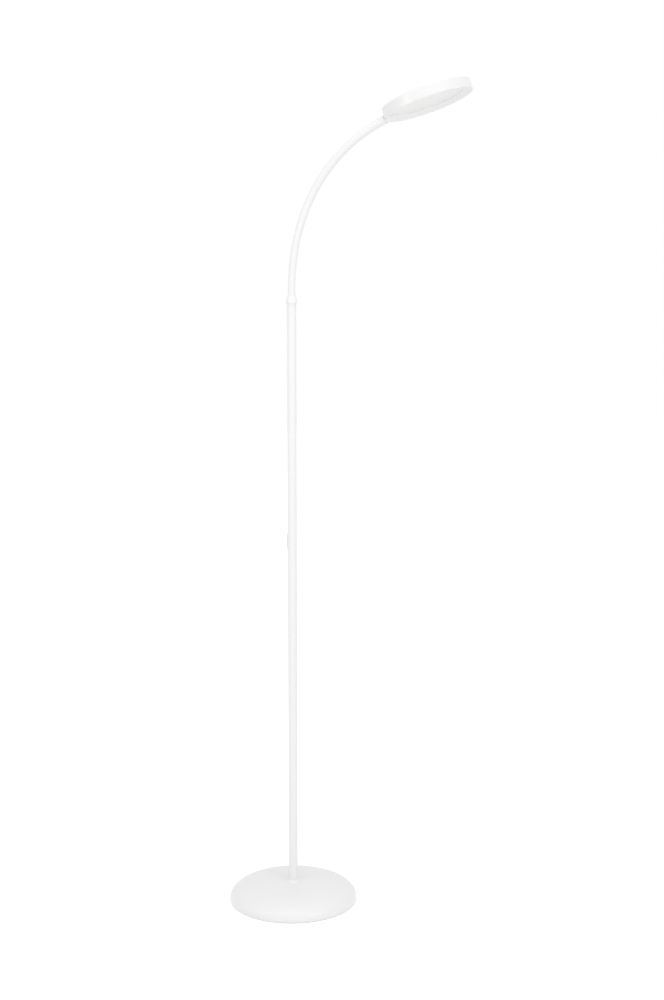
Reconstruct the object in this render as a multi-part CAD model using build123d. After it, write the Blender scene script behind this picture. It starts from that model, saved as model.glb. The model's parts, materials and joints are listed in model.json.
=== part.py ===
from build123d import *
import math
import os

# A gooseneck reading floor lamp. Sizes are in millimetres and angles in degrees. The origin is the centre of
# the foot pad on the floor, +Z is up, and the neck arches towards +X. The switch and the inlet face -X.

# Clearances
SEAT_GAP = 0.05  # between a bore and the round piece pushed into it
THREAD_GAP = 0.03  # between the plain cylinders that stand for a screw and its thread
SLIDE_GAP = 0.10  # around the button and the plunger
BALL_GAP = 0.10  # between the ball of a neck link and the socket below it
PASS_GAP = 0.5  # around a cable, a screw or a housing that only passes through
CUT = 1.0  # how far a cutting solid reaches past the face that it cuts

# Base
BASE_RADIUS = 113.4
BASE_RISE = 30.8  # from the cover's lower edge to its flat top
DOME_FLAT_RADIUS = 35.0
DOME_POWER = 2.6  # of the superellipse that the dome's outline follows
DOME_STEPS = 8
COVER_WALL = 2.0
FOOT_HEIGHT = 2.0
FOOT_INSET = 3.0  # of the foot pad within the plate's edge
PLATE_THICKNESS = 1.5
PLATE_EDGE_GAP = 1.0
BALLAST_SIDE_GAP = 3.0
BALLAST_TOP_GAP = 7.0
BALLAST_WEB = 10.0  # between the cover and the washer
BALLAST_POCKET_RADIUS = 15.0
BOSS_MARGIN = 2.0
PLATE_SCREW_CIRCLE = 70.0
PLATE_SCREW_COUNT = 4
PLATE_SCREW_RADIUS = 2.0
PLATE_SCREW_LENGTH = 8.0
PLATE_SCREW_HEAD_RADIUS = 3.6
PLATE_SCREW_HEAD_HEIGHT = 1.2

# Stem: what clamps the pole to the base
FLANGE_RADIUS = 13.0
FLANGE_TOP_RADIUS = 9.2
FLANGE_HEIGHT = 4.0
FLANGE_SEAT = 1.5  # flange under the pole's end
NIPPLE_RADIUS = 5.0
NIPPLE_BORE = 3.4
NIPPLE_GRIP = 14.0  # length inside the pole's foot insert
NIPPLE_TAIL = 0.5  # below the nut
WASHER_RADIUS = 12.0
WASHER_THICKNESS = 1.5
NUT_ACROSS_FLATS = 16.0
NUT_HEIGHT = 5.0

# Power inlet
INLET_HEIGHT = 10.0
INLET_RADIUS = 5.5
INLET_LENGTH = 13.0
INLET_BORE = 2.85
INLET_DEPTH = 9.5
INLET_PIN_RADIUS = 1.05
INLET_PIN_LENGTH = 8.5

# Pole
POLE_RADIUS = 8.0
POLE_WALL = 1.2
LOWER_LENGTH = 513.7
UPPER_LENGTH = 511.5
INSERT_LENGTH = 22.0
STUD_RADIUS = 5.0
STUD_LENGTH = 14.0
CABLE_BORE = 2.5
CABLE_RADIUS = 1.8
CABLE_FLOOR_GAP = 0.7
CABLE_TURN_RADIUS = 9.0
CABLE_SLOPE_RADIUS = 40.0
CABLE_LEAD_IN = 12.0
CABLE_SLOPE_LENGTH = 20.0

# Switch
PANEL_RISE = 104.5  # of the panel's middle above the joint of the pole's two lengths
PANEL_LENGTH = 46.0
PANEL_WIDTH = 9.0
PANEL_PROUD = 0.15
CARRIER_MARGIN = 4.0  # of the carrier beyond the panel, up and down
BUTTON_DROP = 4.4  # of the button's middle below the panel's
BUTTON_LENGTH = 26.8
BUTTON_WIDTH = 6.0
BUTTON_PROUD = 0.7
BUTTON_SHOULDER = 1.6  # the shoulder's back face, inwards from the bezel's back
BUTTON_LIP = 0.9  # of the shoulder beyond the button, all round
BUTTON_TRAVEL = 0.8
BEZEL_DEPTH = 2.6  # from the pole's surface to the back of the switch bezel
LENS_RISE = 18.5  # of the lens above the panel's middle
LENS_RADIUS = 1.2
BOARD_OFFSET = 0.6  # of the switch board's back from the pole's axis
BOARD_THICKNESS = 1.0
BOARD_WIDTH = 9.0
BOARD_MARGIN = 2.0
TACT_SIZE = 4.6
TACT_HEIGHT = 1.2
PLUNGER_RADIUS = 0.9
PLUNGER_START = 0.2  # depth in the push switch with the button at rest
PLUNGER_SPARE = 0.1  # depth left with the button pressed

# Neck collar and neck
COLLAR_RADIUS = 10.0
COLLAR_BAND = 4.0
COLLAR_CONE = 9.5
COLLAR_TOP_RADIUS = 7.3
COLLAR_SPIGOT = 16.0
NECK_LENGTH = 350.0  # from the collar's top to the seam at the head
NECK_TURN = 65.0  # from straight up to the direction in which it meets the head
NECK_TURN_POWER = 1.25
NECK_LOW_RADIUS = 6.2
NECK_HIGH_RADIUS = 7.0
NECK_JOINTS = 12
NECK_FIRST_JOINT = 14.0
NECK_LAST_JOINT = 20.0  # before the seam
NECK_BORE = 4.2
NECK_CORE_GAP = 0.9  # sleeve beyond the steel core, where the core alone goes on
NECK_ROOT_GRIP = 20.0
SOCKET_SETBACK = 2.4  # of a socket's rim below the centre of its ball

# Head, in a frame of its own: the origin is the middle of its rim, and its Z points at its back
HEAD_TILT = 18.5
HEAD_RIM_RADIUS = 77.0
HEAD_TOP_RADIUS = 76.2
HEAD_HEIGHT = 18.2
HEAD_EDGE_FILLET = 1.8
HEAD_WALL = 1.2
HEAD_TOP_WALL = 2.0
BOSS_DROP = 2.5
BOSS_RADIUS = 3.2
HEAT_PLATE_THICKNESS = 1.2
HEAT_PLATE_GAP = 1.0
LED_BOARD_RADIUS = 62.0
LED_BOARD_THICKNESS = 1.0
LED_WIDTH = 2.8
LED_LENGTH = 3.5
LED_HEIGHT = 0.7
LED_RINGS = 4
LED_RING_PITCH = 14.0
FIRST_RING_LED_COUNT = 6
DIFFUSER_RADIUS = 62.4
DIFFUSER_THICKNESS = 2.0
DIFFUSER_RECESS = 6.8
BEZEL_LIP = 1.0
BEZEL_LIP_THICKNESS = 0.8
BEZEL_RIM_WIDTH = 1.4
BEZEL_THICKNESS = 2.1
BEZEL_SKIRT = 5.0
REFLECTOR_WALL = 1.2
BOARD_SCREW_CIRCLE = 49.0
BOARD_SCREW_COUNT = 3
SMALL_SCREW_RADIUS = 1.25
SMALL_SCREW_HEAD_RADIUS = 2.3
SMALL_SCREW_HEAD_HEIGHT = 1.4
BOARD_SCREW_LENGTH = 5.2

# Neck clamp, in the head
ENTRY_HEIGHT = 1.8  # of the neck's middle above the rim, at the seam
SEAM_OUT = 0.6  # of the seam beyond the rim
SEAM_GAP = 0.7
CLAMP_RADIUS = 7.3
CLAMP_LENGTH = 12.5
CLAMP_RAMP_START = 5.5
CLAMP_WIDTH = 12.0
CLAMP_BLOCK_LENGTH = 9.2
CORE_LENGTH = 7.4
GRUB_RADIUS = 1.5
GRUB_INSET = 3.6
CLAMP_SCREW_SPREAD = 4.0
CLAMP_SCREW_INSET = 3.0  # from the block's inner face
CLAMP_SCREW_LENGTH = 5.0
LEAD_RADIUS = 0.9
LEAD_CHANNEL = 1.4
LEAD_TURN_RADIUS = 2.0
LEAD_REACH = 7.0

# Heights and radii that follow from these
COVER_BOTTOM = FOOT_HEIGHT
COVER_TOP = COVER_BOTTOM + BASE_RISE
COVER_CEILING = COVER_TOP - COVER_WALL
PLATE_RADIUS = BASE_RADIUS - COVER_WALL - PLATE_EDGE_GAP
PLATE_TOP = FOOT_HEIGHT + PLATE_THICKNESS
BALLAST_RADIUS = BASE_RADIUS - COVER_WALL - BALLAST_SIDE_GAP
BALLAST_RISE = BASE_RISE - COVER_WALL - BALLAST_TOP_GAP
WASHER_TOP = COVER_CEILING - BALLAST_WEB
NUT_TOP = WASHER_TOP - WASHER_THICKNESS
NIPPLE_BOTTOM = NUT_TOP - NUT_HEIGHT - NIPPLE_TAIL
POLE_FOOT = COVER_TOP + FLANGE_SEAT
POLE_SPLIT = POLE_FOOT + LOWER_LENGTH
POLE_TOP = POLE_SPLIT + UPPER_LENGTH
POLE_BORE = POLE_RADIUS - POLE_WALL
PLUG_RADIUS = POLE_BORE - SEAT_GAP
CABLE_FLOOR = PLATE_TOP + CABLE_FLOOR_GAP + CABLE_RADIUS
BOARD_FRONT = BOARD_OFFSET + BOARD_THICKNESS
SWITCH_BEZEL_BACK = POLE_RADIUS - BEZEL_DEPTH
BUTTON_BACK = SWITCH_BEZEL_BACK - BUTTON_SHOULDER
TACT_TOP = BOARD_FRONT + TACT_HEIGHT
PANEL_MIDDLE = POLE_SPLIT + PANEL_RISE
BUTTON_MIDDLE = PANEL_MIDDLE - BUTTON_DROP
LENS_HEIGHT = PANEL_MIDDLE + LENS_RISE
BOARD_BOTTOM = PANEL_MIDDLE - PANEL_LENGTH / 2 - CARRIER_MARGIN - BOARD_MARGIN
BOARD_TOP = PANEL_MIDDLE + PANEL_LENGTH / 2 + CARRIER_MARGIN + BOARD_MARGIN
NECK_BOTTOM = POLE_TOP + COLLAR_BAND + COLLAR_CONE
ROOT_CORE_RADIUS = NECK_LOW_RADIUS - NECK_CORE_GAP
TIP_CORE_RADIUS = NECK_HIGH_RADIUS - 2 * NECK_CORE_GAP
HEAD_INNER_RADIUS = HEAD_TOP_RADIUS - HEAD_WALL
HEAD_CEILING = HEAD_HEIGHT - HEAD_TOP_WALL
HEAT_PLATE_TOP = HEAD_CEILING - BOSS_DROP
HEAT_PLATE_BOTTOM = HEAT_PLATE_TOP - HEAT_PLATE_THICKNESS
LED_BOARD_BOTTOM = HEAT_PLATE_BOTTOM - LED_BOARD_THICKNESS
DIFFUSER_TOP = DIFFUSER_RECESS + DIFFUSER_THICKNESS
CLAMP_INNER_FACE = HEAD_RIM_RADIUS + SEAM_OUT - CLAMP_LENGTH
GRUB_PLACE = CLAMP_INNER_FACE + CLAMP_BLOCK_LENGTH - GRUB_INSET + GRUB_RADIUS
LEAD_PLACE = CLAMP_INNER_FACE + CLAMP_SCREW_INSET - SMALL_SCREW_RADIUS
LEAD_HEIGHT = LED_BOARD_BOTTOM - LEAD_RADIUS


# Helpers


def cylinder(radius, low, high):
    """An upright cylinder on the Z axis."""
    return Pos(0, 0, (low + high) / 2) * Cylinder(radius, high - low)


def ring(outer, inner, low, high):
    """An upright tube on the Z axis."""
    return cylinder(outer, low, high) - cylinder(inner, low - CUT, high + CUT)


def block(x_low, x_high, y_low, y_high, z_low, z_high):
    """A box between two corners."""
    middle = Pos((x_low + x_high) / 2, (y_low + y_high) / 2, (z_low + z_high) / 2)
    return middle * Box(x_high - x_low, y_high - y_low, z_high - z_low)


def turned(*edges):
    """The solid that a closed outline in the XZ plane sweeps around Z."""
    return revolve(make_face(list(edges)), Axis.Z)


def turned_polygon(*corners):
    """The same, from the (radius, height) corners of the outline."""
    points = [(radius, 0, height) for radius, height in corners]
    return revolve(make_face(Polyline(*points, close=True)), Axis.Z)


def around(piece, radius, count, first_angle=0.0):
    """Copies of a piece spaced evenly on a circle about Z, as one group of solids."""
    step = 360.0 / count
    copies = [Rot(0, 0, first_angle + step * n) * Pos(radius, 0, 0) * piece for n in range(count)]
    return Compound(children=[Part(copy.wrapped) for copy in copies])


def cut_around(body, piece, radius, count, first_angle=0.0):
    """The body less copies of a piece spaced evenly on a circle about Z."""
    step = 360.0 / count
    for n in range(count):
        body -= Rot(0, 0, first_angle + step * n) * Pos(radius, 0, 0) * piece
    return body


def switch_slab(length, width, middle, near, far):
    """An upright slot-shaped slab at -X, between two distances from the pole's axis."""
    face = Plane(origin=(-near, 0, middle), x_dir=(0, 0, 1), z_dir=(-1, 0, 0))
    return extrude(face * SlotOverall(length, width), far - near)


def pin_at_minus_x(radius, height, near, far):
    """A round bar along X at -X, between two distances from the pole's axis."""
    face = Plane(origin=(-near, 0, height), x_dir=(0, 0, 1), z_dir=(-1, 0, 0))
    return extrude(face * Circle(radius), far - near)


def cable(radius, points, radii):
    """A round cable along straight runs joined by tangent arcs."""
    path = FilletPolyline(*points, radius=radii) if len(points) > 2 else Line(*points)
    return sweep(Plane(origin=path @ 0, z_dir=path % 0) * Circle(radius), path=path)


# Base


def dome_radius_at(height):
    """The radius of the cover's outer face at a height."""
    rise = (height - COVER_BOTTOM) / BASE_RISE
    return DOME_FLAT_RADIUS + (BASE_RADIUS - DOME_FLAT_RADIUS) * (1 - rise**DOME_POWER) ** (1 / DOME_POWER)


def dome_edge(radius, rise):
    """The dome's outline, from the rim of its flat top down to its lower edge."""
    points = []
    for step in range(DOME_STEPS + 1):
        angle = math.radians(90 * step / DOME_STEPS)
        out = max(math.sin(angle), 0) ** (2 / DOME_POWER)
        up = max(math.cos(angle), 0) ** (2 / DOME_POWER)
        points.append((DOME_FLAT_RADIUS + (radius - DOME_FLAT_RADIUS) * out, 0, COVER_BOTTOM + rise * up))
    return Spline(*points, tangents=[(1, 0, 0), (0, 0, -1)])


def dome(radius, rise):
    """The solid under a dome's outline, down to the height of the cover's lower edge."""
    edge = dome_edge(radius, rise)
    low, high = (0, 0, COVER_BOTTOM), (0, 0, COVER_BOTTOM + rise)
    return turned(Line(high, edge @ 0), edge, Line(edge @ 1, low), Line(low, high))


def base_cover():
    hole = NIPPLE_RADIUS + SEAT_GAP
    outer = dome_edge(BASE_RADIUS, BASE_RISE)
    inner = dome_edge(BASE_RADIUS - COVER_WALL, BASE_RISE - COVER_WALL)
    cover = turned(
        Line((hole, 0, COVER_TOP), outer @ 0),
        outer,
        Line(outer @ 1, inner @ 1),
        inner,
        Line(inner @ 0, (hole, 0, COVER_CEILING)),
        Line((hole, 0, COVER_CEILING), (hole, 0, COVER_TOP)),
    )
    return cover - inlet_bar(INLET_RADIUS + SEAT_GAP, -INLET_LENGTH, CUT)


def base_ballast():
    ballast = dome(BALLAST_RADIUS, BALLAST_RISE)
    ballast += cylinder(DOME_FLAT_RADIUS - BOSS_MARGIN, PLATE_TOP, COVER_CEILING)
    ballast -= cylinder(BASE_RADIUS, COVER_BOTTOM - CUT, PLATE_TOP)
    ballast -= cylinder(BALLAST_POCKET_RADIUS, PLATE_TOP - CUT, WASHER_TOP)
    ballast -= cylinder(NIPPLE_RADIUS + SEAT_GAP, WASHER_TOP - CUT, COVER_CEILING + CUT)
    groove_half = CABLE_RADIUS + PASS_GAP
    groove_top = INLET_HEIGHT + CABLE_RADIUS + PASS_GAP
    ballast -= block(-BASE_RADIUS, 0, -groove_half, groove_half, 0, groove_top)
    bay_half = INLET_RADIUS + PASS_GAP
    bay_start = inlet_face() - INLET_LENGTH - PASS_GAP
    ballast -= block(-BASE_RADIUS, -bay_start, -bay_half, bay_half, 0, BASE_RISE)
    hole = cylinder(PLATE_SCREW_RADIUS + THREAD_GAP, 0, FOOT_HEIGHT + PLATE_SCREW_LENGTH + PASS_GAP)
    return cut_around(ballast, hole, PLATE_SCREW_CIRCLE, PLATE_SCREW_COUNT, screw_first_angle())


def screw_first_angle():
    """Keeps the plate's screws clear of the cable's groove."""
    return 180.0 / PLATE_SCREW_COUNT


def plate_screw(gap=0.0):
    """A countersunk screw, its head flush with the underside of the plate."""
    low = FOOT_HEIGHT - (CUT if gap else 0)
    shank = cylinder(PLATE_SCREW_RADIUS + gap, low, FOOT_HEIGHT + PLATE_SCREW_LENGTH)
    head_middle = FOOT_HEIGHT + PLATE_SCREW_HEAD_HEIGHT / 2
    head = Pos(0, 0, head_middle) * Cone(
        PLATE_SCREW_HEAD_RADIUS + gap, PLATE_SCREW_RADIUS + gap, PLATE_SCREW_HEAD_HEIGHT
    )
    return shank + head


def base_plate():
    plate = cylinder(PLATE_RADIUS, FOOT_HEIGHT, PLATE_TOP)
    return cut_around(
        plate, plate_screw(THREAD_GAP), PLATE_SCREW_CIRCLE, PLATE_SCREW_COUNT, screw_first_angle()
    )


def base_screws():
    return around(plate_screw(), PLATE_SCREW_CIRCLE, PLATE_SCREW_COUNT, screw_first_angle())


def foot_pad():
    """The pad under the plate, which covers its screws and grips the floor."""
    return cylinder(PLATE_RADIUS - FOOT_INSET, 0, FOOT_HEIGHT)


# Power inlet


def inlet_face():
    """The distance of the inlet's outer end from the pole's axis, on the inlet's own axis."""
    return dome_radius_at(INLET_HEIGHT)


def inlet_bar(radius, start, end):
    """A bar along the inlet's axis, from start to end as measured outwards from its outer end."""
    return pin_at_minus_x(radius, INLET_HEIGHT, inlet_face() + start, inlet_face() + end)


def power_inlet():
    """The socket, its outer end flush with the dome around it."""
    body = inlet_bar(INLET_RADIUS, -INLET_LENGTH, CUT) & dome(BASE_RADIUS, BASE_RISE)
    return body - inlet_bar(INLET_BORE, -INLET_DEPTH, CUT)


def inlet_pin():
    return inlet_bar(INLET_PIN_RADIUS, -INLET_DEPTH, INLET_PIN_LENGTH - INLET_DEPTH)


# Stem


def stem_flange():
    return turned_polygon(
        (NIPPLE_RADIUS + SEAT_GAP, COVER_TOP),
        (FLANGE_RADIUS, COVER_TOP),
        (FLANGE_RADIUS, COVER_TOP + FLANGE_SEAT / 3),
        (FLANGE_TOP_RADIUS, COVER_TOP + FLANGE_HEIGHT),
        (POLE_RADIUS + SEAT_GAP, COVER_TOP + FLANGE_HEIGHT),
        (POLE_RADIUS + SEAT_GAP, POLE_FOOT),
        (NIPPLE_RADIUS + SEAT_GAP, POLE_FOOT),
    )


def stem_nipple():
    return ring(NIPPLE_RADIUS, NIPPLE_BORE, NIPPLE_BOTTOM, POLE_FOOT + NIPPLE_GRIP)


def stem_washer():
    return ring(WASHER_RADIUS, NIPPLE_RADIUS + SEAT_GAP, NUT_TOP, WASHER_TOP)


def stem_nut():
    corner_radius = NUT_ACROSS_FLATS / math.sqrt(3)
    base = Plane.XY.offset(NUT_TOP - NUT_HEIGHT)
    nut = extrude(base * RegularPolygon(corner_radius, 6), NUT_HEIGHT)
    return nut - cylinder(NIPPLE_RADIUS + THREAD_GAP, NUT_TOP - NUT_HEIGHT - CUT, NUT_TOP + CUT)


# Pole


def pole_foot_insert():
    insert = ring(PLUG_RADIUS, NIPPLE_BORE, POLE_FOOT, POLE_FOOT + INSERT_LENGTH)
    return insert - cylinder(NIPPLE_RADIUS + THREAD_GAP, POLE_FOOT - CUT, POLE_FOOT + NIPPLE_GRIP)


def pole_tube_lower():
    return ring(POLE_RADIUS, POLE_BORE, POLE_FOOT, POLE_SPLIT)


def pole_joint_stud():
    body = cylinder(PLUG_RADIUS, POLE_SPLIT - INSERT_LENGTH, POLE_SPLIT)
    body += cylinder(STUD_RADIUS, POLE_SPLIT - CUT, POLE_SPLIT + STUD_LENGTH)
    return body - cylinder(CABLE_BORE, POLE_SPLIT - INSERT_LENGTH - CUT, POLE_SPLIT + STUD_LENGTH + CUT)


def pole_joint_socket():
    top = POLE_SPLIT + INSERT_LENGTH
    body = ring(PLUG_RADIUS, CABLE_BORE, POLE_SPLIT, top)
    return body - cylinder(STUD_RADIUS + THREAD_GAP, POLE_SPLIT - CUT, POLE_SPLIT + STUD_LENGTH)


def pole_tube_upper():
    tube = ring(POLE_RADIUS, POLE_BORE, POLE_SPLIT, POLE_TOP)
    length = PANEL_LENGTH + 2 * SEAT_GAP
    width = PANEL_WIDTH + 2 * SEAT_GAP
    return tube - switch_slab(length, width, PANEL_MIDDLE, BOARD_FRONT, POLE_RADIUS + CUT)


def supply_cable():
    start = inlet_face() - INLET_LENGTH
    slope_top = start - CABLE_LEAD_IN
    points = [
        (-start, 0, INLET_HEIGHT),
        (-slope_top, 0, INLET_HEIGHT),
        (-slope_top + CABLE_SLOPE_LENGTH, 0, CABLE_FLOOR),
        (0, 0, CABLE_FLOOR),
        (0, 0, BOARD_BOTTOM),
    ]
    return cable(CABLE_RADIUS, points, [CABLE_SLOPE_RADIUS, CABLE_SLOPE_RADIUS, CABLE_TURN_RADIUS])


def lamp_cable():
    return cable(CABLE_RADIUS, [(0, 0, BOARD_TOP), (0, 0, NECK_BOTTOM)], [])


# Switch


def switch_carrier():
    """The block inside the pole with the bezel that fills the slot in the pole's side."""
    low = PANEL_MIDDLE - PANEL_LENGTH / 2 - CARRIER_MARGIN
    high = PANEL_MIDDLE + PANEL_LENGTH / 2 + CARRIER_MARGIN
    body = cylinder(PLUG_RADIUS, low, high)
    front = POLE_RADIUS + PANEL_PROUD
    body += switch_slab(PANEL_LENGTH, PANEL_WIDTH, PANEL_MIDDLE, 0, front) & cylinder(front, low, high)
    body -= block(-BOARD_FRONT, POLE_RADIUS, -POLE_RADIUS, POLE_RADIUS, low - CUT, high + CUT)
    window_length = BUTTON_LENGTH + 2 * SLIDE_GAP
    window_width = BUTTON_WIDTH + 2 * SLIDE_GAP
    body -= switch_slab(window_length, window_width, BUTTON_MIDDLE, BOARD_FRONT - CUT, POLE_RADIUS + CUT)
    bay_length = window_length + 2 * BUTTON_LIP
    bay_width = window_width + 2 * BUTTON_LIP
    body -= switch_slab(bay_length, bay_width, BUTTON_MIDDLE, BOARD_FRONT - CUT, SWITCH_BEZEL_BACK)
    return body - pin_at_minus_x(LENS_RADIUS + SEAT_GAP, LENS_HEIGHT, BOARD_FRONT - CUT, POLE_RADIUS + CUT)


def switch_button():
    front = POLE_RADIUS + BUTTON_PROUD
    cap = switch_slab(BUTTON_LENGTH, BUTTON_WIDTH, BUTTON_MIDDLE, BUTTON_BACK, front)
    cap &= cylinder(front, PANEL_MIDDLE - PANEL_LENGTH, PANEL_MIDDLE + PANEL_LENGTH)
    shoulder_length = BUTTON_LENGTH + 2 * BUTTON_LIP
    shoulder_width = BUTTON_WIDTH + 2 * BUTTON_LIP
    back = SWITCH_BEZEL_BACK - SLIDE_GAP
    return cap + switch_slab(shoulder_length, shoulder_width, BUTTON_MIDDLE, BUTTON_BACK, back)


def switch_plunger():
    return pin_at_minus_x(PLUNGER_RADIUS, BUTTON_MIDDLE, TACT_TOP - PLUNGER_START, BUTTON_BACK)


def tact_switch():
    half = TACT_SIZE / 2
    body = block(-TACT_TOP, -BOARD_FRONT, -half, half, BUTTON_MIDDLE - half, BUTTON_MIDDLE + half)
    depth = PLUNGER_START + BUTTON_TRAVEL + PLUNGER_SPARE
    return body - pin_at_minus_x(PLUNGER_RADIUS + SLIDE_GAP, BUTTON_MIDDLE, TACT_TOP - depth, TACT_TOP + CUT)


def switch_board():
    half = BOARD_WIDTH / 2
    return block(-BOARD_FRONT, -BOARD_OFFSET, -half, half, BOARD_BOTTOM, BOARD_TOP)


def indicator_lens():
    front = POLE_RADIUS + PANEL_PROUD
    lens = pin_at_minus_x(LENS_RADIUS, LENS_HEIGHT, BOARD_FRONT, front)
    return lens & cylinder(front, LENS_HEIGHT - LENS_RADIUS - CUT, LENS_HEIGHT + LENS_RADIUS + CUT)


# Neck


def neck_collar():
    band_top = POLE_TOP + COLLAR_BAND
    core_hole = ROOT_CORE_RADIUS + SEAT_GAP
    return turned_polygon(
        (CABLE_BORE, POLE_TOP - COLLAR_SPIGOT),
        (PLUG_RADIUS, POLE_TOP - COLLAR_SPIGOT),
        (PLUG_RADIUS, POLE_TOP),
        (COLLAR_RADIUS, POLE_TOP),
        (COLLAR_RADIUS, band_top),
        (COLLAR_TOP_RADIUS, NECK_BOTTOM),
        (core_hole, NECK_BOTTOM),
        (core_hole, NECK_BOTTOM - NECK_ROOT_GRIP),
        (CABLE_BORE, NECK_BOTTOM - NECK_ROOT_GRIP),
    )


def neck_radius(distance):
    """The sleeve's radius at a distance along the neck."""
    return NECK_LOW_RADIUS + (NECK_HIGH_RADIUS - NECK_LOW_RADIUS) * distance / NECK_LENGTH


def neck_distances():
    """Distances along the neck of its lower end, its joints and the seam at the head."""
    pitch = (NECK_LENGTH - NECK_FIRST_JOINT - NECK_LAST_JOINT) / (NECK_JOINTS - 1)
    return [0.0] + [NECK_FIRST_JOINT + pitch * n for n in range(NECK_JOINTS)] + [NECK_LENGTH]


def neck_turns():
    """Each stretch's angle from straight up. The first stands upright in the collar."""
    ends = neck_distances()
    middles = [(low + high) / 2 for low, high in zip(ends, ends[1:])]
    return [0.0] + [NECK_TURN * (middle / NECK_LENGTH) ** NECK_TURN_POWER for middle in middles[1:]]


def neck_points():
    """The neck's lower end, its joints and the seam, in the plane of the arm."""
    points = [Vector(0, 0, NECK_BOTTOM)]
    ends = neck_distances()
    for low, high, turn in zip(ends, ends[1:], neck_turns()):
        points.append(points[-1] + direction(turn) * (high - low))
    return points


def direction(turn):
    """The unit vector at an angle from straight up, leaning towards +X."""
    return Vector(math.sin(math.radians(turn)), 0, math.cos(math.radians(turn)))


def arc_about(middle_height, radius, first, last):
    """An arc in the XZ plane about a point of the Z axis, between two angles above the horizontal."""
    angles = [math.radians(a) for a in (first, (first + last) / 2, last)]
    points = [(radius * math.cos(a), 0, middle_height + radius * math.sin(a)) for a in angles]
    return ThreePointArc(*points)


def ball_edge(radius):
    """The outline of a link's ball end, from its bore out to its side."""
    return arc_about(0, radius, -math.degrees(math.acos(NECK_BORE / radius)), 0)


def socket_edge(ball_radius, height):
    """The outline of a link's socket end, from its rim in to its bore."""
    radius = ball_radius + BALL_GAP
    rim = -math.degrees(math.asin(SOCKET_SETBACK / radius))
    return arc_about(height, radius, rim, -math.degrees(math.acos(NECK_BORE / radius)))


def stretch_length(number):
    ends = neck_distances()
    return ends[number + 1] - ends[number]


def ball_radius(number):
    """The radius of stretch number's ball and side: the sleeve's at its lower end."""
    return neck_radius(neck_distances()[number])


def outline_to_socket(number, start, lower_edges):
    """The rest of a stretch's outline: up its side, around its socket, and down its bore."""
    length = stretch_length(number)
    socket = socket_edge(ball_radius(number + 1), length)
    rim = (ball_radius(number), 0, length - SOCKET_SETBACK)
    return [Line(start, rim), Line(rim, socket @ 0), socket, Line(socket @ 1, lower_edges[0] @ 0)]


def neck_root():
    side = (ball_radius(0), 0, 0)
    core = [(NECK_BORE, 0, -NECK_ROOT_GRIP), (ROOT_CORE_RADIUS, 0, -NECK_ROOT_GRIP), (ROOT_CORE_RADIUS, 0, 0)]
    edges = [Line(core[0], core[1]), Line(core[1], core[2]), Line(core[2], side)]
    return placed(0, turned(*edges, *outline_to_socket(0, side, edges)))


def neck_link(number):
    ball = ball_edge(ball_radius(number))
    return placed(number, turned(ball, *outline_to_socket(number, ball @ 1, [ball])))


def neck_tip():
    """The last stretch, whose steel core goes on into the clamp."""
    length = stretch_length(NECK_JOINTS)
    ball = ball_edge(ball_radius(NECK_JOINTS))
    corners = [
        ball @ 1,
        (ball_radius(NECK_JOINTS), 0, length),
        (TIP_CORE_RADIUS, 0, length),
        (TIP_CORE_RADIUS, 0, length + CORE_LENGTH),
        (NECK_BORE, 0, length + CORE_LENGTH),
        ball @ 0,
    ]
    return placed(NECK_JOINTS, turned(ball, *[Line(a, b) for a, b in zip(corners, corners[1:])]))


def placed(number, piece):
    """A stretch of the neck, moved from upright at the origin to where it belongs."""
    turn = neck_turns()[number]
    lower_end = Plane(origin=neck_points()[number], x_dir=direction(turn + 90), z_dir=direction(turn))
    return lower_end.location * piece


# Head


def head_location():
    """Where the head's own frame lies, so that the neck meets its rim at the seam."""
    outward = direction(90 - HEAD_TILT)
    back = direction(-HEAD_TILT)
    origin = neck_points()[-1] + outward * (HEAD_RIM_RADIUS + SEAM_OUT) - back * ENTRY_HEIGHT
    return Plane(origin=origin, x_dir=outward, z_dir=back).location


def neck_rise():
    """The angle at which the neck rises from the rim's plane as it enters the head."""
    return 90 - neck_turns()[-1] - HEAD_TILT


def clamp_location():
    """The seam's frame within the head's, its Z along the neck."""
    seam = (-(HEAD_RIM_RADIUS + SEAM_OUT), 0, ENTRY_HEIGHT)
    turn = 90 - neck_rise()
    return Plane(origin=seam, x_dir=direction(turn + 90), z_dir=direction(turn)).location


def clamp_axis_height(distance_out):
    """The height of the neck's line above the rim, at a distance from the head's middle."""
    slope = math.tan(math.radians(neck_rise()))
    return ENTRY_HEIGHT + (HEAD_RIM_RADIUS + SEAM_OUT - distance_out) * slope


def clamp_envelope(gap):
    """The clamp's outside, grown by a gap: a round sleeve around the neck and a riser to the heat plate."""
    tall = HEAD_HEIGHT
    inner = CLAMP_INNER_FACE - gap
    outer = CLAMP_INNER_FACE + CLAMP_BLOCK_LENGTH + gap
    half = CLAMP_WIDTH / 2 + gap
    sleeve = clamp_location() * cylinder(CLAMP_RADIUS + gap, SEAM_GAP, CLAMP_LENGTH + CLAMP_RADIUS)
    sleeve &= block(-2 * HEAD_RIM_RADIUS, -inner, -tall, tall, -tall, tall)
    riser = block(-outer, -inner, -half, half, clamp_axis_height(CLAMP_INNER_FACE), HEAT_PLATE_BOTTOM)
    return sleeve + riser


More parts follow.
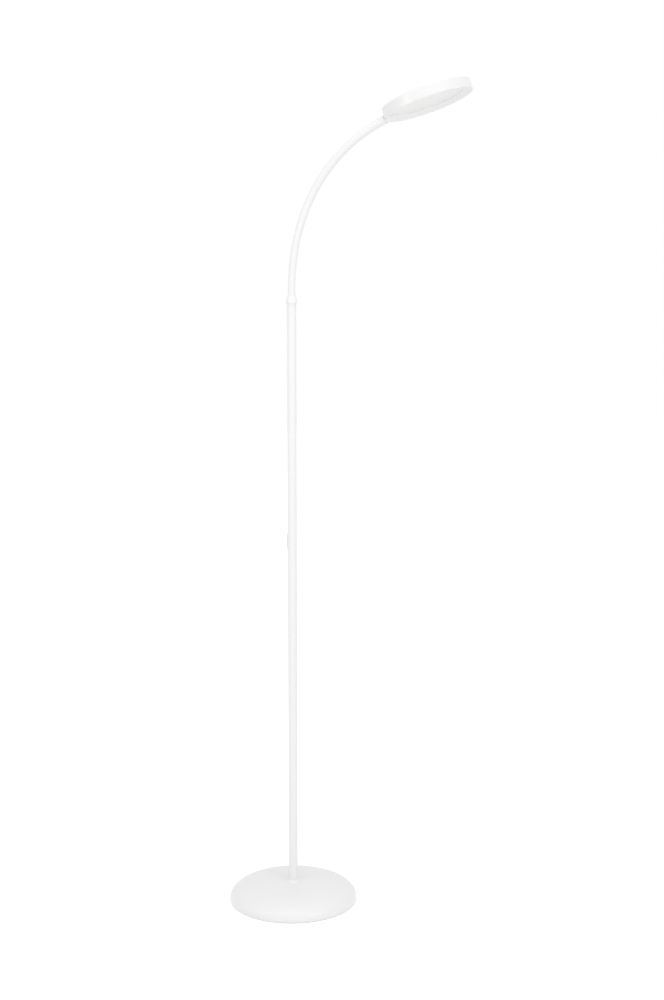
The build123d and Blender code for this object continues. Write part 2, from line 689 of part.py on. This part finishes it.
def neck_clamp():
    clamp = clamp_envelope(0.0) - clamp_ramp()
    clamp -= clamp_location() * cylinder(TIP_CORE_RADIUS + SEAT_GAP, 0, SEAM_GAP + CORE_LENGTH + PASS_GAP)
    clamp -= Pos(-GRUB_PLACE, 0, 0) * cylinder(GRUB_RADIUS + THREAD_GAP, ENTRY_HEIGHT, HEAD_HEIGHT)
    for side in (-1, 1):
        hole = cylinder(SMALL_SCREW_RADIUS + THREAD_GAP, clamp_screw_tip() - PASS_GAP, HEAD_HEIGHT)
        clamp -= Pos(-clamp_screw_place(), side * CLAMP_SCREW_SPREAD, 0) * hole
    return clamp - lead_channel()


def clamp_ramp():
    """What slopes the sleeve's underside up to the rim at its inner end."""
    deep = -2 * CLAMP_RADIUS
    start = -(HEAD_RIM_RADIUS + SEAM_OUT - CLAMP_RAMP_START)
    low = clamp_axis_height(-start) - CLAMP_RADIUS
    corners = [(start, 0, low), (-CLAMP_INNER_FACE, 0, 0), (0, 0, 0), (0, 0, deep), (start, 0, deep)]
    return extrude(make_face(Polyline(*corners, close=True)), 2 * CLAMP_RADIUS, both=True)


def clamp_screw_place():
    return CLAMP_INNER_FACE + CLAMP_SCREW_INSET


def clamp_screw_tip():
    return HEAT_PLATE_TOP - CLAMP_SCREW_LENGTH


def lead_channel():
    """The way of the lead through the clamp: along the neck, up, and out of the inner face."""
    along = clamp_location() * cylinder(LEAD_CHANNEL, CORE_LENGTH, HEAD_RIM_RADIUS + SEAM_OUT - LEAD_PLACE)
    low = clamp_axis_height(LEAD_PLACE) - LEAD_CHANNEL
    up = Pos(-LEAD_PLACE, 0, 0) * cylinder(LEAD_CHANNEL, low, LEAD_HEIGHT)
    out = Plane(origin=(-LEAD_PLACE, 0, LEAD_HEIGHT), x_dir=(0, 1, 0), z_dir=(1, 0, 0))
    return along + up + extrude(out * Circle(LEAD_CHANNEL), LEAD_PLACE)


def clamp_grub_screw():
    core_half_height = TIP_CORE_RADIUS / math.cos(math.radians(neck_rise()))
    core_top = clamp_axis_height(GRUB_PLACE - GRUB_RADIUS) + core_half_height
    return Pos(-GRUB_PLACE, 0, 0) * cylinder(GRUB_RADIUS, core_top, HEAT_PLATE_BOTTOM - PASS_GAP)


def small_screw(seat, length, up):
    """A screw whose head stands on the seat, its shank going up or down from there."""
    sign = 1 if up else -1
    shank = sorted((seat - sign * SMALL_SCREW_HEAD_HEIGHT / 2, seat + sign * length))
    head = sorted((seat - sign * SMALL_SCREW_HEAD_HEIGHT, seat))
    return cylinder(SMALL_SCREW_RADIUS, *shank) + cylinder(SMALL_SCREW_HEAD_RADIUS, *head)


def clamp_screws():
    screw = small_screw(HEAT_PLATE_TOP, CLAMP_SCREW_LENGTH, up=False)
    places = [Pos(-clamp_screw_place(), side * CLAMP_SCREW_SPREAD, 0) for side in (-1, 1)]
    return Compound(children=[Part((place * screw).wrapped) for place in places])


def head_shell():
    outline = make_face(
        Polyline(
            (0, 0, HEAD_CEILING),
            (HEAD_INNER_RADIUS, 0, HEAD_CEILING),
            (HEAD_INNER_RADIUS, 0, 0),
            (HEAD_RIM_RADIUS, 0, 0),
            (HEAD_TOP_RADIUS, 0, HEAD_HEIGHT),
            (0, 0, HEAD_HEIGHT),
            close=True,
        )
    )
    corner = outline.vertices().sort_by(lambda vertex: vertex.X + vertex.Z)[-1]
    shell = revolve(fillet(corner, HEAD_EDGE_FILLET), Axis.Z)
    boss = cylinder(BOSS_RADIUS, HEAT_PLATE_TOP, HEAD_CEILING + HEAD_TOP_WALL / 2)
    for n in range(BOARD_SCREW_COUNT):
        shell += Rot(0, 0, 360.0 / BOARD_SCREW_COUNT * n) * Pos(BOARD_SCREW_CIRCLE, 0, 0) * boss
    hole_top = LED_BOARD_BOTTOM + BOARD_SCREW_LENGTH + THREAD_GAP
    hole = cylinder(SMALL_SCREW_RADIUS + THREAD_GAP, 0, hole_top)
    shell = cut_around(shell, hole, BOARD_SCREW_CIRCLE, BOARD_SCREW_COUNT)
    return shell - clamp_location() * cylinder(CLAMP_RADIUS + SEAT_GAP, -CLAMP_RADIUS, CLAMP_RADIUS)


def board_screw_hole():
    return cylinder(SMALL_SCREW_RADIUS + THREAD_GAP, 0, HEAD_HEIGHT)


def heat_plate():
    plate = cylinder(HEAD_INNER_RADIUS - HEAT_PLATE_GAP, HEAT_PLATE_BOTTOM, HEAT_PLATE_TOP)
    for side in (-1, 1):
        plate -= Pos(-clamp_screw_place(), side * CLAMP_SCREW_SPREAD, 0) * board_screw_hole()
    return cut_around(plate, board_screw_hole(), BOARD_SCREW_CIRCLE, BOARD_SCREW_COUNT)


def led_board():
    board = cylinder(LED_BOARD_RADIUS, LED_BOARD_BOTTOM, HEAT_PLATE_BOTTOM)
    return cut_around(board, board_screw_hole(), BOARD_SCREW_CIRCLE, BOARD_SCREW_COUNT)


def board_screws():
    screw = small_screw(LED_BOARD_BOTTOM, BOARD_SCREW_LENGTH, up=True)
    return around(screw, BOARD_SCREW_CIRCLE, BOARD_SCREW_COUNT)


def led_chips():
    """Rings of LEDs under the board, each ring with as many more as its radius gives room for."""
    middle = LED_BOARD_BOTTOM - LED_HEIGHT / 2
    chip = Pos(0, 0, middle) * Box(LED_WIDTH, LED_LENGTH, LED_HEIGHT)
    rings = [around(chip, LED_RING_PITCH * n, FIRST_RING_LED_COUNT * n) for n in range(1, LED_RINGS + 1)]
    return Compound(children=[solid for group in rings for solid in group.solids()])


def reflector_ring():
    wall = ring(DIFFUSER_RADIUS, DIFFUSER_RADIUS - REFLECTOR_WALL, DIFFUSER_TOP, LED_BOARD_BOTTOM)
    half = LEAD_CHANNEL
    return wall - block(-HEAD_RIM_RADIUS, 0, -half, half, DIFFUSER_TOP - CUT, LED_BOARD_BOTTOM + CUT)


def diffuser():
    return cylinder(DIFFUSER_RADIUS, DIFFUSER_RECESS, DIFFUSER_TOP)


def bezel_ring():
    outer = HEAD_INNER_RADIUS - SEAT_GAP
    rim = outer - BEZEL_RIM_WIDTH
    seat = DIFFUSER_RADIUS + SEAT_GAP
    lip = DIFFUSER_RADIUS - BEZEL_LIP
    wall = seat + BEZEL_THICKNESS
    lip_bottom = DIFFUSER_RECESS - BEZEL_LIP_THICKNESS
    slope = lip_bottom / (rim - lip)
    skirt_inner = rim - SEAT_GAP
    bezel = turned_polygon(
        (outer, 0),
        (rim, 0),
        (lip, lip_bottom),
        (lip, DIFFUSER_RECESS),
        (seat, DIFFUSER_RECESS),
        (seat, DIFFUSER_TOP),
        (wall, DIFFUSER_TOP),
        (wall, slope * (rim - wall) + BEZEL_THICKNESS),
        (skirt_inner, slope * (rim - skirt_inner) + BEZEL_THICKNESS),
        (skirt_inner, BEZEL_SKIRT),
        (outer, BEZEL_SKIRT),
    )
    return bezel - clamp_envelope(SLIDE_GAP)


def head_lead():
    """The lead from the neck's end, up inside the clamp, and over the diffuser to the board."""
    start = HEAD_RIM_RADIUS + SEAM_OUT - CORE_LENGTH - SEAM_GAP
    points = [
        (-start, 0, clamp_axis_height(start)),
        (-LEAD_PLACE, 0, clamp_axis_height(LEAD_PLACE)),
        (-LEAD_PLACE, 0, LEAD_HEIGHT),
        (-LEAD_PLACE + LEAD_REACH, 0, LEAD_HEIGHT),
    ]
    return cable(LEAD_RADIUS, points, [LEAD_TURN_RADIUS, LEAD_TURN_RADIUS])


HEAD_PIECES = (
    neck_clamp,
    clamp_grub_screw,
    clamp_screws,
    head_shell,
    heat_plate,
    led_board,
    led_chips,
    board_screws,
    reflector_ring,
    diffuser,
    bezel_ring,
    head_lead,
)

FIXED_PIECES = (
    base_cover,
    base_ballast,
    base_plate,
    base_screws,
    foot_pad,
    power_inlet,
    inlet_pin,
    supply_cable,
    stem_flange,
    stem_nipple,
    stem_washer,
    stem_nut,
    pole_foot_insert,
    pole_tube_lower,
    pole_joint_stud,
    pole_joint_socket,
    pole_tube_upper,
    lamp_cable,
    switch_carrier,
    switch_button,
    switch_plunger,
    tact_switch,
    switch_board,
    indicator_lens,
    neck_collar,
    neck_root,
    neck_tip,
)


def main():
    os.makedirs("parts", exist_ok=True)
    nodes = {make.__name__: make() for make in FIXED_PIECES}
    nodes |= {f"neck_link_{n:02d}": neck_link(n) for n in range(1, NECK_JOINTS)}
    nodes |= {make.__name__: head_location() * make() for make in HEAD_PIECES}
    for name, shape in nodes.items():
        export_step(shape, f"parts/{name}.step")


if __name__ == "__main__":
    main()
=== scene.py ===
import json
import math

import bpy
import numpy as np
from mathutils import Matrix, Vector

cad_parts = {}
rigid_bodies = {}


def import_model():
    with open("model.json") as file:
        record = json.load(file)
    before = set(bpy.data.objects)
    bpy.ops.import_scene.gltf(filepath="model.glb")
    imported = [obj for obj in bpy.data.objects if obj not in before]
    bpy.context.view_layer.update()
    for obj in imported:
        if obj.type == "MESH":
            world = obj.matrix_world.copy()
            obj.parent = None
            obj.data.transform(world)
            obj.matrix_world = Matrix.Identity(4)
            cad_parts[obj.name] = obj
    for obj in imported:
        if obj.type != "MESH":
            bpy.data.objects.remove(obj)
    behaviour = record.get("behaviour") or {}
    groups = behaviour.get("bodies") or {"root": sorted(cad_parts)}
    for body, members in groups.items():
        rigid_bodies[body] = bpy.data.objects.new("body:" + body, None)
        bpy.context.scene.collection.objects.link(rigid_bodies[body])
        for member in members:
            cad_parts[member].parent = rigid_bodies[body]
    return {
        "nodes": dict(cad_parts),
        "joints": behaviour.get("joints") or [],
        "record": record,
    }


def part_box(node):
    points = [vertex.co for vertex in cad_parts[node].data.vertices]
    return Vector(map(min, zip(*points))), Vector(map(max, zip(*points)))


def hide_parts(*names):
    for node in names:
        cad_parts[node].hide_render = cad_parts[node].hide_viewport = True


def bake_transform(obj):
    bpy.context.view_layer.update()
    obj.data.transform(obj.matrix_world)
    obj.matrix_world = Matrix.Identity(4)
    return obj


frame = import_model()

# A gooseneck reading floor lamp, dressed around its solids. Metres, in the solids' own frame: +Z is up, the
# neck arches towards +X, and the photo's camera looks roughly along +Y.

WHITE = (1.0, 1.0, 1.0, 1.0)

# Camera
IMAGE_HEIGHT = 1000  # pixels
FOCAL_PIXELS = 1436.5
SENSOR = 36.0  # mm
CAMERA_PLACE = (0.4772, -2.4368, 1.0097)
CAMERA_TURN = 9.482  # degrees to the left of +Y
CAMERA_DIP = 6.643  # degrees
CLIP_START, CLIP_END = 0.05, 60.0

# Light
AMBIENT = 0.75  # strength of the white surround where it lights a surface
SOFTBOX_SIZE = 0.9
SOFTBOXES = (  # name, place, aim, watts
    ("left_softbox", (-1.6, -1.6, 1.5), (0.1, 0.0, 0.9), 5.5),
    ("right_softbox", (1.9, -1.5, 1.5), (0.1, 0.0, 0.9), 8.6),
    ("top_softbox", (0.15, -0.6, 2.4), (0.1, 0.0, 0.3), 4.3),
    ("base_softbox", (0.1, -0.9, 0.9), (0.0, 0.0, 0.0), 1.2),
)

# Floor
FLOOR_HALF = 12.0
FLOOR_COLOR = (0.94, 0.94, 0.94, 1.0)
FLOOR_ROUGHNESS = 0.9
FLOOR_LIFT = 0.42  # what the floor adds to its own look for the camera, so that it reads as white

# Materials
EVEN = (1, 1, 1)  # no stretch
DETAIL = 2.0
TINT_DETAIL = 3.0
NOISE_LOW, NOISE_HIGH = 0.3, 0.7  # where most of a noise's values lie
MIX_FACTOR, MIX_FIRST, MIX_SECOND, MIX_RESULT = 0, 6, 7, 2  # a mix node's sockets for colours
WARM_COLOR = (0.872, 0.874, 0.848)
WARM_REACH = (0.02, 0.06)  # from the diffuser's middle: wholly warm up to here, and not at all from here

# Neck sleeve
SLEEVE_SIDES = 40
SLEEVE_TIP = 0.0205  # from the last hinge, closing most of the gap before the head
SLEEVE_STRAIGHT = 0.15  # share of each half piece that stays in line with its link
SLEEVE_STEPS = 8  # in each piece's bend


# ---------------------------------------------------------------- scene setting


def clear_startup():
    """Removes what Blender's startup file brings with it."""
    for name in ("Cube", "Light", "Camera"):
        if name in bpy.data.objects:
            bpy.data.objects.remove(bpy.data.objects[name])


def new_object(name, data):
    made = bpy.data.objects.new(name, data)
    bpy.context.scene.collection.objects.link(made)
    return made


def point_at(thing, place, ahead):
    """Puts a camera or light there and turns it to look in that direction."""
    thing.location = place
    thing.rotation_mode = "QUATERNION"
    thing.rotation_quaternion = ahead.to_track_quat("-Z", "Y")


def add_camera():
    data = bpy.data.cameras.new("camera")
    data.sensor_width = SENSOR
    data.lens = FOCAL_PIXELS * SENSOR / IMAGE_HEIGHT
    data.clip_start, data.clip_end = CLIP_START, CLIP_END
    camera = new_object("camera", data)
    turn, dip = math.radians(CAMERA_TURN), math.radians(CAMERA_DIP)
    ahead = Vector((-math.sin(turn) * math.cos(dip), math.cos(turn) * math.cos(dip), -math.sin(dip)))
    point_at(camera, CAMERA_PLACE, ahead)
    bpy.context.scene.camera = camera


def add_softbox(name, place, aim, power):
    data = bpy.data.lights.new(name, "AREA")
    data.shape = "SQUARE"
    data.size = SOFTBOX_SIZE
    data.energy = power
    light = new_object(name, data)
    point_at(light, place, Vector(aim) - Vector(place))
    light.visible_camera = False


def seen_directly(tree):
    """1 for rays from the camera, off a glossy surface or through glass, 0 for those that light a surface."""
    path = tree.nodes.new("ShaderNodeLightPath")
    seen = path.outputs["Is Camera Ray"]
    for ray in ("Is Glossy Ray", "Is Transmission Ray"):
        either = tree.nodes.new("ShaderNodeMath")
        either.operation = "ADD"
        either.use_clamp = True
        tree.links.new(seen, either.inputs[0])
        tree.links.new(path.outputs[ray], either.inputs[1])
        seen = either.outputs[0]
    return seen


def add_world():
    """A white surround: plain white where it is seen, and a little less where it lights the lamp."""
    world = bpy.data.worlds.new("studio")
    world.use_nodes = True
    bpy.context.scene.world = world
    tree = world.node_tree
    background = tree.nodes["Background"]
    background.inputs["Color"].default_value = WHITE
    strength = tree.nodes.new("ShaderNodeMapRange")
    strength.inputs["To Min"].default_value = AMBIENT
    strength.inputs["To Max"].default_value = 1.0
    tree.links.new(seen_directly(tree), strength.inputs["Value"])
    tree.links.new(strength.outputs["Result"], background.inputs["Strength"])


def add_floor():
    h = FLOOR_HALF
    mesh = bpy.data.meshes.new("floor")
    mesh.from_pydata([(-h, -h, 0), (h, -h, 0), (h, h, 0), (-h, h, 0)], [], [(0, 1, 2, 3)])
    floor = new_object("floor", mesh)
    material = bpy.data.materials.new("floor")
    material.use_nodes = True
    tree = material.node_tree
    shader = tree.nodes["Principled BSDF"]
    shader.inputs["Base Color"].default_value = FLOOR_COLOR
    shader.inputs["Roughness"].default_value = FLOOR_ROUGHNESS
    shader.inputs["Specular IOR Level"].default_value = 0.0
    shader.inputs["Emission Color"].default_value = WHITE
    lift = tree.nodes.new("ShaderNodeMath")
    lift.operation = "MULTIPLY"
    lift.inputs[1].default_value = FLOOR_LIFT
    tree.links.new(seen_directly(tree), lift.inputs[0])
    tree.links.new(lift.outputs[0], shader.inputs["Emission Strength"])
    mesh.materials.append(material)


# ---------------------------------------------------------------- materials


class Surface:
    """A material around one principled shader, with its textures in the solids' own coordinates."""

    def __init__(self, name, color, roughness, **sockets):
        self.material = bpy.data.materials.new(name)
        self.material.use_nodes = True
        self.tree = self.material.node_tree
        self.shader = self.tree.nodes["Principled BSDF"]
        self.color = color
        self.roughness = roughness
        self.shader.inputs["Base Color"].default_value = (*color, 1.0)
        self.shader.inputs["Roughness"].default_value = roughness
        for socket, value in sockets.items():
            self.shader.inputs[socket.replace("_", " ")].default_value = value
        self.place = self.tree.nodes.new("ShaderNodeTexCoord").outputs["Object"]

    def noise(self, size, detail, stretch=EVEN):
        """Noise whose spots are about that size in metres, longer where stretch is over 1."""
        spread = self.tree.nodes.new("ShaderNodeVectorMath")
        spread.operation = "DIVIDE"
        spread.inputs[1].default_value = stretch
        self.tree.links.new(self.place, spread.inputs[0])
        made = self.tree.nodes.new("ShaderNodeTexNoise")
        made.inputs["Scale"].default_value = 1 / size
        made.inputs["Detail"].default_value = detail
        self.tree.links.new(spread.outputs[0], made.inputs["Vector"])
        return made.outputs["Fac"]

    def remap(self, value, start, end, low, high):
        """Maps the values between start and end smoothly to those between low and high."""
        made = self.tree.nodes.new("ShaderNodeMapRange")
        made.interpolation_type = "SMOOTHSTEP"
        numbers = {"From Min": start, "From Max": end, "To Min": low, "To Max": high}
        for socket, number in numbers.items():
            made.inputs[socket].default_value = number
        self.tree.links.new(value, made.inputs["Value"])
        return made.outputs["Result"]

    def mix_to_base(self, factor, other):
        """Makes the base colour that other one where the factor is 0, and the surface's own where it is 1."""
        made = self.tree.nodes.new("ShaderNodeMix")
        made.data_type = "RGBA"
        made.inputs[MIX_FIRST].default_value = (*other, 1.0)
        made.inputs[MIX_SECOND].default_value = (*self.color, 1.0)
        self.tree.links.new(factor, made.inputs[MIX_FACTOR])
        self.tree.links.new(made.outputs[MIX_RESULT], self.shader.inputs["Base Color"])

    def tint(self, size, share):
        """Lets the colour drift by that share in patches of that size."""
        darker = tuple(c * (1 - share) for c in self.color)
        noise = self.noise(size, TINT_DETAIL)
        self.mix_to_base(self.remap(noise, NOISE_LOW, NOISE_HIGH, 0.0, 1.0), darker)
        return self

    def warm(self, centre, color, reach):
        """Lets the colour change to that one near a place, wholly within reach's first distance of it."""
        away = self.tree.nodes.new("ShaderNodeVectorMath")
        away.operation = "DISTANCE"
        away.inputs[1].default_value = centre
        self.tree.links.new(self.place, away.inputs[0])
        self.mix_to_base(self.remap(away.outputs["Value"], *reach, 0.0, 1.0), color)
        return self

    def gloss(self, size, spread, stretch=EVEN):
        """Lets the roughness vary by that much either way in patches of that size."""
        low, high = self.roughness - spread, self.roughness + spread
        value = self.remap(self.noise(size, DETAIL, stretch), NOISE_LOW, NOISE_HIGH, low, high)
        self.tree.links.new(value, self.shader.inputs["Roughness"])
        return self

    def grain(self, size, depth, detail=DETAIL, stretch=EVEN):
        """Raises and lowers the surface by that depth in spots of that size."""
        bump = self.tree.nodes.new("ShaderNodeBump")
        bump.inputs["Strength"].default_value = 1.0
        bump.inputs["Distance"].default_value = depth
        self.tree.links.new(self.noise(size, detail, stretch), bump.inputs["Height"])
        self.tree.links.new(bump.outputs["Normal"], self.shader.inputs["Normal"])
        return self


# Each finish below has the name of its slot in the record. It gives colour and roughness, then tint's patch
# size and share, gloss's patch size and spread, and grain's spot size and depth, all sizes in metres.


def white_paint(name):
    """Powder coat on steel: even, faintly pebbled."""
    surface = Surface(name, (0.865, 0.867, 0.865), 0.36, Specular_IOR_Level=0.45)
    return surface.tint(0.12, 0.008).gloss(0.03, 0.04).grain(0.0022, 0.000006)


def neck_sleeve(name):
    """A soft smooth sleeve over the flexible tube."""
    surface = Surface(name, (0.87, 0.872, 0.868), 0.46, Specular_IOR_Level=0.40)
    return surface.tint(0.05, 0.01).gloss(0.012, 0.05).grain(0.0012, 0.000004)


def white_aluminium(name):
    """Spray paint on the head's casting: finer than the powder coat."""
    surface = Surface(name, (0.87, 0.87, 0.872), 0.30, Specular_IOR_Level=0.5)
    return surface.tint(0.09, 0.006).gloss(0.02, 0.03).grain(0.0015, 0.000004)


def bare_aluminium(name):
    """Rolled sheet, with its fine lines along X."""
    surface = Surface(name, (0.78, 0.79, 0.80), 0.34, Metallic=1.0)
    return surface.gloss(0.004, 0.08, stretch=(12, 1, 1)).grain(0.0005, 0.000006, stretch=(30, 1, 1))


def ballast_iron(name):
    """Rough dark casting."""
    surface = Surface(name, (0.075, 0.077, 0.08), 0.62, Specular_IOR_Level=0.4)
    return surface.tint(0.03, 0.3).gloss(0.01, 0.1).grain(0.0014, 0.00012, detail=5.0)


def zinc_steel(name):
    surface = Surface(name, (0.60, 0.61, 0.63), 0.32, Metallic=1.0)
    return surface.tint(0.02, 0.12).gloss(0.006, 0.09).grain(0.0007, 0.000008)


def contact_brass(name):
    surface = Surface(name, (0.80, 0.62, 0.30), 0.2, Metallic=1.0)
    return surface.tint(0.002, 0.06).gloss(0.002, 0.05)


def foot_foam(name):
    """Closed-cell foam with its fine pores."""
    surface = Surface(name, (0.030, 0.030, 0.031), 0.82, Specular_IOR_Level=0.3)
    return surface.tint(0.02, 0.15).gloss(0.008, 0.06).grain(0.0009, 0.00012, detail=4.0)


def black_plastic(name):
    surface = Surface(name, (0.022, 0.022, 0.023), 0.42)
    return surface.gloss(0.004, 0.06).grain(0.0004, 0.00001)


def cable_sheath(name):
    surface = Surface(name, (0.80, 0.80, 0.79), 0.5)
    return surface.tint(0.03, 0.03).gloss(0.006, 0.05).grain(0.0005, 0.000008)


def white_plastic(name):
    """Moulded plastic with a fine spark-eroded grain."""
    surface = Surface(name, (0.885, 0.887, 0.885), 0.40)
    return surface.tint(0.05, 0.008).gloss(0.01, 0.04).grain(0.0005, 0.000015)


def button_plastic(name):
    surface = Surface(name, (0.50, 0.505, 0.51), 0.44)
    return surface.tint(0.01, 0.02).gloss(0.004, 0.04).grain(0.0004, 0.000015)


def lens_plastic(name):
    surface = Surface(name, (0.62, 0.64, 0.66), 0.12, Transmission_Weight=0.35, IOR=1.49)
    return surface.gloss(0.002, 0.04)


def green_board(name):
    surface = Surface(name, (0.02, 0.16, 0.07), 0.35)
    return surface.tint(0.004, 0.25).gloss(0.003, 0.06).grain(0.0003, 0.00001)


def white_board(name):
    surface = Surface(name, (0.86, 0.86, 0.85), 0.36)
    return surface.tint(0.01, 0.02).gloss(0.004, 0.05).grain(0.0003, 0.000006)


def led_resin(name):
    surface = Surface(name, (0.85, 0.62, 0.12), 0.28)
    return surface.tint(0.002, 0.08).gloss(0.001, 0.05)


def opal_acrylic(name):
    """The diffuser: milky and satin, slightly warmer in its middle, where the LED board lies behind it."""
    surface = Surface(name, (0.872, 0.872, 0.866), 0.32)
    low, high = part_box("diffuser")
    surface.warm((low + high) / 2, WARM_COLOR, WARM_REACH)
    return surface.gloss(0.02, 0.03).grain(0.0006, 0.000006)


def reflector_white(name):
    surface = Surface(name, (0.89, 0.89, 0.885), 0.2)
    return surface.gloss(0.01, 0.04).grain(0.0008, 0.000006)


FINISHES = (
    white_paint, neck_sleeve, white_aluminium, bare_aluminium, ballast_iron, zinc_steel, contact_brass,
    foot_foam, black_plastic, cable_sheath, white_plastic, button_plastic, lens_plastic, green_board,
    white_board, led_resin, opal_acrylic, reflector_white,
)


def paint_nodes(materials):
    """Gives each solid the material of the slot that the record names for it."""
    for row in frame["record"]["subparts"]:
        frame["nodes"][row["node"]].material_slots[0].material = materials[row["material_slot"]]


# ---------------------------------------------------------------- neck sleeve


def neck_hinges():
    """The neck's joints from the collar up: (place, lower body, upper body)."""
    found = []
    for joint in frame["joints"]:
        if joint["type"] == "hinge":
            found.append((Vector(joint["pos_m"]), joint["parent"], joint["child"]))
    return found


def longest_axis(node):
    """The direction in which a long solid lies, pointing up."""
    corners = np.array([v.co for v in frame["nodes"][node].data.vertices])
    axis = Vector(np.linalg.svd(corners - corners.mean(0), full_matrices=False)[2][0])
    return axis if axis.z > 0 else -axis


def half_width(node):
    low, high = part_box(node)
    return (high.y - low.y) / 2


def bend_line(start, corner, end):
    """The middle line of a piece: in line with one link, round the hinge, and in line with the next."""
    leave = start.lerp(corner, SLEEVE_STRAIGHT)
    arrive = end.lerp(corner, SLEEVE_STRAIGHT)
    points = [start]
    for step in range(SLEEVE_STEPS + 1):
        t = step / SLEEVE_STEPS
        points.append(leave.lerp(corner, t).lerp(corner.lerp(arrive, t), t))
    return points + [end]


def tube_mesh(name, points, radii):
    """A closed tube about a line in the XZ plane, its sides smooth and its ends flat."""
    side = Vector((0, 1, 0))
    last = len(points) - 1
    vertices = []
    for n, (point, radius) in enumerate(zip(points, radii)):
        along = (points[min(n + 1, last)] - points[max(n - 1, 0)]).normalized()
        out = side.cross(along)
        for k in range(SLEEVE_SIDES):
            angle = 2 * math.pi * k / SLEEVE_SIDES
            vertices.append(point + (out * math.cos(angle) + side * math.sin(angle)) * radius)
    faces = []
    for n in range(last):
        for k in range(SLEEVE_SIDES):
            a, b = n * SLEEVE_SIDES + k, n * SLEEVE_SIDES + (k + 1) % SLEEVE_SIDES
            faces.append((a, b, b + SLEEVE_SIDES, a + SLEEVE_SIDES))
    top = last * SLEEVE_SIDES
    faces.append(tuple(reversed(range(SLEEVE_SIDES))))
    faces.append(tuple(range(top, top + SLEEVE_SIDES)))
    mesh = bpy.data.meshes.new(name)
    mesh.from_pydata(vertices, [], faces)
    mesh.polygons.foreach_set("use_smooth", [True] * (len(faces) - 2) + [False, False])
    for edge in mesh.edges:  # without sharp rims the flat ends would darken the sides next to them
        edge.use_edge_sharp = max(edge.vertices) < SLEEVE_SIDES or min(edge.vertices) >= top
    return mesh


def add_sleeve(material):
    """One sleeve piece over each hinge, from the middle of one link to the middle of the next."""
    hinges = neck_hinges()
    last = len(hinges) - 1
    foot = Vector((0, 0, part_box("neck_collar")[1].z))
    seam = hinges[last][0] + longest_axis("neck_tip") * SLEEVE_TIP
    stations = [foot] + [place for place, _, _ in hinges] + [seam]
    links = ["neck_root"] + [f"neck_link_{n:02d}" for n in range(1, len(hinges))] + ["neck_tip"]
    # The radius grows evenly from the root's at the collar to the tip's at about the last hinge.
    low, high = half_width(links[0]), half_width(links[-1])
    length = sum((b - a).length for a, b in zip(stations, stations[1:-1]))
    walked = 0.0
    start = foot
    for n, (place, lower, upper) in enumerate(hinges):
        end = seam if n == last else (place + stations[n + 2]) / 2
        points = bend_line(start, place, end)
        radii = []
        for k, point in enumerate(points):
            walked += (point - points[k - 1]).length if k else 0.0
            radii.append(low + (high - low) * walked / length)
        name = f"neck_sleeve_{n + 1:02d}"
        mesh = tube_mesh(name, points, radii)
        mesh.materials.append(material)
        piece = new_object(name, mesh)
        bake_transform(piece)
        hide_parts(*([links[n], links[n + 1]] if n == last else [links[n]]))
        start = end


# ---------------------------------------------------------------- all together


def main():
    clear_startup()
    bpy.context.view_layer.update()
    bpy.context.scene.view_settings.view_transform = "Standard"
    add_camera()
    add_world()
    for softbox in SOFTBOXES:
        add_softbox(*softbox)
    add_floor()
    materials = {make.__name__: make(make.__name__).material for make in FINISHES}
    paint_nodes(materials)
    add_sleeve(materials["neck_sleeve"])


main()
